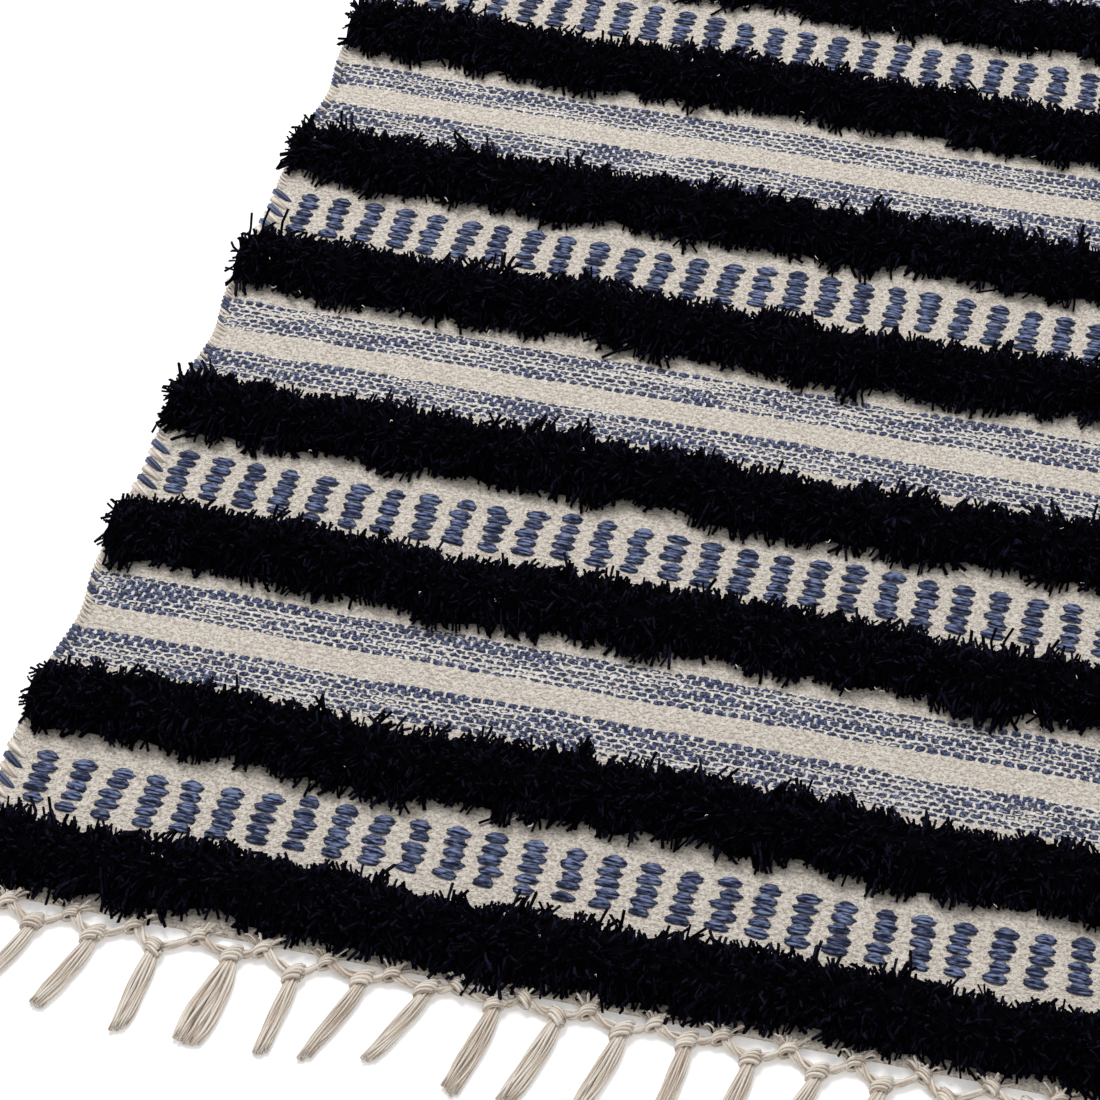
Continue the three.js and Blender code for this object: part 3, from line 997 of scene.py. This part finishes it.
def gathered(form, ends, roots, tips):
    """Draws the tips together into tufts, some of which are longer than the rest."""
    tuft, off = form.nearest_tuft(roots[:, 0])
    pull = (form.tufts[tuft] - tips[:, 0]) * TUFT_PULL
    tips[:, 0] += pull + form.tuft_lean[tuft] + chance.normal(0, ends["stray"], len(tips))
    extra = ends["longest"] * form.tuft_length[tuft] * (1 - 0.7 * off**2) - 0.06
    tips += (tips - roots) * (extra * form.round_off(roots[:, 0]))[:, None]
    farthest = HALF_WIDTH + PILE_OVERHANG - 1
    tips[:, 0] = np.clip(tips[:, 0], -farthest, farthest)
    tips[:, 2] = np.maximum(tips[:, 2], PILE_FOOT + TIP_CLEARANCE)


def tufted_stripe(number, middle, units, finish):
    """One pile stripe: cut ends that lie like thatch over a dark body, and bent ends gathered in tufts."""
    form = PileForm(number, middle)
    parts = [shaped_core(units["core"], form)]
    tones = [np.zeros(len(parts[0][0]))]
    sets = [(units["short"], 1, *thatch(form, SHORT_ENDS))]
    for ends in BENT_ENDS:
        roots, tips = thatch(form, ends)
        gathered(form, ends, roots, tips)
        sets.append((units["bent"], BENT_WIDER, roots, tips))
    for (unit_points, unit_faces), wider, roots, tips in sets:
        widths = chance.uniform(*END_WIDTHS, len(roots)) * wider
        placings = placings_along(roots, tips, widths, chance.uniform(0, 2 * math.pi, len(roots)))
        parts.append(laid_out(unit_points, unit_faces, placings))
        tones.append(np.repeat(chance.uniform(0, 1, len(roots)) ** 3, len(unit_points)))
    points, faces = stacked(parts)
    piece = joined(f"tufted_stripe_{number:02d}", points, faces, finish, tones=np.concatenate(tones))
    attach(piece, "root")
    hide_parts(PILE_NODES[number - 1])
    return piece


def loose_ends(unit):
    """Undyed ends and lint that show here and there among the pile and along its rims."""
    placings = []
    for number, middle in enumerate(PILE_LINES, 1):
        form = PileForm(number, middle)
        for ends in LINT:
            count = ends["count"]
            x = chance.uniform(-HALF_WIDTH + 6, HALF_WIDTH - 6, count)
            angle = chance.uniform(ends["low"], ends["high"], count)
            roots = form.at(np.full(count, 0.97), angle, x)
            heading = chance.uniform(0, 2 * math.pi, count)
            step = ends["length"] * chance.uniform(0.5, 1.2, count)
            forward = -np.abs(np.sin(heading)) * step
            tips = roots + np.stack([np.cos(heading) * step, forward, 0.1 * step], axis=1)
            roots[:, 2] += 0.5
            tips[:, 2] = np.maximum(tips[:, 2], PILE_FOOT + 0.5)
            widths = chance.uniform(0.35, 0.7, count)
            placings.append(placings_along(roots, tips, widths, chance.uniform(0, 6, count)))
    points, faces = laid_out(*unit, np.concatenate(placings))
    finish = tone_finish("undyed_lint", ECRU, ECRU_BRIGHT)
    piece = joined("loose_undyed_ends", points, faces, finish, tones=np.full(len(points), 0.6))
    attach(piece, "root")
    return piece


# Fringe


def curve_through(start, pull, end, count):
    """A smooth bend from start to end, drawn towards pull."""
    share = np.linspace(0, 1, count)[:, None]
    start, pull, end = (np.array(point, dtype=float) for point in (start, pull, end))
    return (1 - share) ** 2 * start + 2 * share * (1 - share) * pull + share**2 * end


def add_strand(bundle, path, radius, sides=5):
    points, faces, routes = yarn(path, radius, sides=sides, start=chance.uniform(0, 9))
    bundle.add(points, faces, routes, chance.uniform(0, 1))


def add_knot(bundle, centre, direction, across, height, span, turns, radius):
    """Turns of yarn wound round a place, slanting, with the direction as the axis."""
    axis = np.array([direction[0], direction[1], 0.0])
    axis /= np.linalg.norm(axis)
    side = np.array([axis[1], -axis[0], 0.0])
    up = np.array([0.0, 0.0, 1.0])
    slant = chance.uniform(1.2, 2.4) * chance.choice([-1, 1, 1])
    for turn in range(turns):
        share = (turn + 0.5) / turns - 0.5
        swell = math.sqrt(1 - (1.5 * share) ** 2)
        angles = np.linspace(0, 2 * math.pi * 0.96, 13) + chance.uniform(2.6, 3.6)
        path = [
            np.array(centre)
            + side * across * swell * math.cos(a)
            + up * (height * swell * math.sin(a))
            + axis * (share * span + slant * math.cos(a) + 0.3 * math.sin(2 * a + turn))
            for a in angles
        ]
        add_strand(bundle, path, radius * chance.uniform(0.9, 1.1))


def add_leg(bundle, top, bottom, sag):
    """A leg of the net: fat yarns twisted loosely round each other, hanging in a slight curve."""
    middle = ((top[0] + bottom[0]) / 2 + sag[0], (top[1] + bottom[1]) / 2 + sag[1])
    for number in range(LEG_YARNS):
        turn = number * 2 * math.pi / LEG_YARNS + chance.uniform(0, 0.5)
        path = curve_through((*top, LEG_TOP), (*middle, LEG_MIDDLE), (*bottom, LEG_BOTTOM), 8)
        twist = turn + np.linspace(0, LEG_TWIST, len(path))
        path[:, 0] += np.cos(twist) * 0.8
        path[:, 1] += np.cos(twist)
        path[:, 2] += np.sin(twist) * 0.8
        add_strand(bundle, path, LEG_RADIUS, sides=6)


def add_tassel_yarn(bundle, kind, x, y, number, cut):
    """One of a tassel's yarns, falling from under its knot to its place in the spread end."""
    angle = number * GOLDEN_ANGLE
    ring = math.sqrt((number + 0.5) / TASSEL_YARNS)
    out = math.cos(angle) * ring
    rise = math.sin(angle) * ring
    half = kind["spread"] / 2 - 1.0
    swell = half * 1.5 + 0.3
    length = kind["length"] * (chance.uniform(0.94, 1.0) + cut * out)
    start = (x + out * 1.9, y - 1.5, 2.5 + rise * 1.3)
    pull = (x + kind["lean"] * 0.36 + out * swell, y - length * 0.5, 1.9 + rise * 1.4)
    end_x = x + kind["lean"] + out * half * 0.9 + chance.normal(0, 0.35)
    path = curve_through(start, pull, (end_x, y - length, 0.75 + (rise + 1) * 0.8), 9)
    wave = np.linspace(0, 1, len(path))
    path[:, 0] += chance.uniform(0.3, 0.75) * np.sin(wave * chance.uniform(5, 9) + number) * wave
    path[:, 2] = np.maximum(path[:, 2], 0.65)
    add_strand(bundle, path, 0.6 + 0.022 * kind["spread"])


def add_tassel(bundle, place):
    """One tassel: two legs, a knot and the yarns that fall away from it."""
    kind = TASSELS[place % len(TASSELS)]
    middle = (place - (TASSEL_COUNT - 1) / 2) * TASSEL_PITCH
    x = middle + kind["shift"]
    y = -EDGE_LINE - kind["drop"]
    for side in (-1, 1):
        top = (middle + side * (TASSEL_PITCH / 2 - 1.2), -EDGE_LINE - LEG_DROP)
        add_leg(bundle, top, (x + side * 2.2, y + 2.2), (side * -0.6, -2.2))
    add_knot(bundle, (x, y, 2.9), (kind["lean"] * 0.6, -kind["length"]), **TASSEL_KNOT)
    cut = chance.uniform(-0.07, 0.07)
    for number in range(TASSEL_YARNS):
        add_tassel_yarn(bundle, kind, x, y, number, cut)


def add_edge_knot(bundle, place):
    """One knot of the row at the cloth, with the warp ends that gather into it."""
    x = (place - TASSEL_COUNT / 2) * TASSEL_PITCH
    y = -EDGE_LINE - EDGE_KNOT_DROP
    reach = TASSEL_PITCH * 0.92
    for number in range(GATHERED_WARPS):
        share = (number + 0.5) / GATHERED_WARPS - 0.5
        start_x = min(max(x + share * reach, -HALF_WIDTH + 2), HALF_WIDTH - 2)
        start = (start_x, -EDGE_LINE + 3.5, 2.1)
        pull = (x + share * reach * 0.7, -EDGE_LINE - 0.2, 1.9)
        path = curve_through(start, pull, (x + share * 3.2, y, 2.2 + (number % 2)), 5)
        add_strand(bundle, path, WARP_RADIUS)
    add_knot(bundle, (x, y - 0.6, 2.8), (0, -1), **EDGE_KNOT)
    for number in range(FRAYED_ENDS):
        aside = chance.uniform(-8, 8)
        tip = (x + aside, y + chance.uniform(1.0, 5.0), chance.uniform(3.6, 7.0))
        path = curve_through((x + aside * 0.3, y, 4.0), (x + aside * 0.8, y + 3, 6.5), tip, 5)
        path[:, 0] = path[:, 0].clip(-HALF_WIDTH - 2, HALF_WIDTH + 2)
        add_strand(bundle, path, FRAYED_RADIUS, sides=4)


def fringe(name, node, far):
    """The knots, net and tassels of one end. The far end is made like the near one and turned round."""
    bundle = Bundle()
    for place in range(TASSEL_COUNT + 1):
        add_edge_knot(bundle, place)
    for place in range(TASSEL_COUNT):
        add_tassel(bundle, place)
    if far:
        bundle.turn_round()
    piece = bundle.piece(name, undyed_yarn)
    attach(piece, "root")
    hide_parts(node)
    return piece


# Studio


def floor():
    bpy.ops.mesh.primitive_plane_add(size=FLOOR_SIZE_M)
    ground = bpy.context.object
    ground.name = "floor"
    made, tree, shader = material("pale_floor", 0.9)
    shader.inputs["Base Color"].default_value = FLOOR_GREY
    shader.inputs["Emission Color"].default_value = WHITE
    shader.inputs["Emission Strength"].default_value = FLOOR_GLOW
    ground.data.materials.append(made)


def studio():
    """White light all round, and one soft key light from behind."""
    world = bpy.data.worlds.new("studio")
    world.use_nodes = True
    backdrop = world.node_tree.nodes["Background"]
    backdrop.inputs["Color"].default_value = WHITE
    backdrop.inputs["Strength"].default_value = BACKDROP_STRENGTH
    bpy.context.scene.world = world
    lamp = bpy.data.lights.new("key", "AREA")
    lamp.shape = "SQUARE"
    lamp.size = KEY_LIGHT["size"]
    lamp.energy = KEY_LIGHT["power"]
    light = bpy.data.objects.new("key", lamp)
    light.location = KEY_LIGHT["place"]
    aim = Vector(KEY_LIGHT["aim"]) - Vector(KEY_LIGHT["place"])
    light.rotation_euler = aim.to_track_quat("-Z", "Y").to_euler()
    bpy.context.scene.collection.objects.link(light)
    bpy.context.scene.view_settings.view_transform = "Standard"


def camera():
    """The photograph's viewpoint, from its aim on the floor, distance, elevation, turn and roll."""
    elevation = math.radians(VIEW_ELEVATION)
    turn = math.radians(VIEW_TURN)
    roll = math.radians(VIEW_ROLL)
    forward = math.cos(elevation)
    look = Vector((-math.sin(turn) * forward, math.cos(turn) * forward, -math.sin(elevation)))
    level = look.cross(Vector((0, 0, 1))).normalized()
    above = level.cross(look)
    right = level * math.cos(roll) + above * math.sin(roll)
    upward = right.cross(look)
    lens = bpy.data.cameras.new("camera")
    lens.lens = LENS
    lens.sensor_width = SENSOR_WIDTH
    lens.clip_end = 20
    seat = bpy.data.objects.new("camera", lens)
    turned = Matrix((right, upward, -look)).transposed().to_4x4()
    seat.matrix_world = Matrix.Translation(VIEW_AIM_M - look * VIEW_DISTANCE_M) @ turned
    bpy.context.scene.collection.objects.link(seat)
    bpy.context.scene.camera = seat


bpy.ops.object.select_all(action="DESELECT")
camera()
studio()
floor()

undyed_yarn = yarn_finish("undyed_yarn", YARN_PAINTED_SHADE, YARN)
blue_yarn = yarn_finish("blue_yarn", BLUE, BLUE_LIGHT, lift=-0.62, plies=5.0)
navy_ends = tone_finish("navy_pile", NAVY, NAVY_LIGHT, gloss=0.03)

ground = woven_ground()
floats = weft_floats()
edges = selvedge(-1) + selvedge(1)
bent_end = cut_end_unit(BENT_RADIUS, END_BEND)
pile_units = {"core": core_unit(), "short": cut_end_unit(SHORT_RADIUS), "bent": bent_end}
stripes = [tufted_stripe(number, line, pile_units, navy_ends) for number, line in enumerate(PILE_LINES, 1)]
lint = loose_ends(bent_end)
near = fringe("knotted_fringe_near", "fringe_near", far=False)
far = fringe("knotted_fringe_far", "fringe_far", far=True)
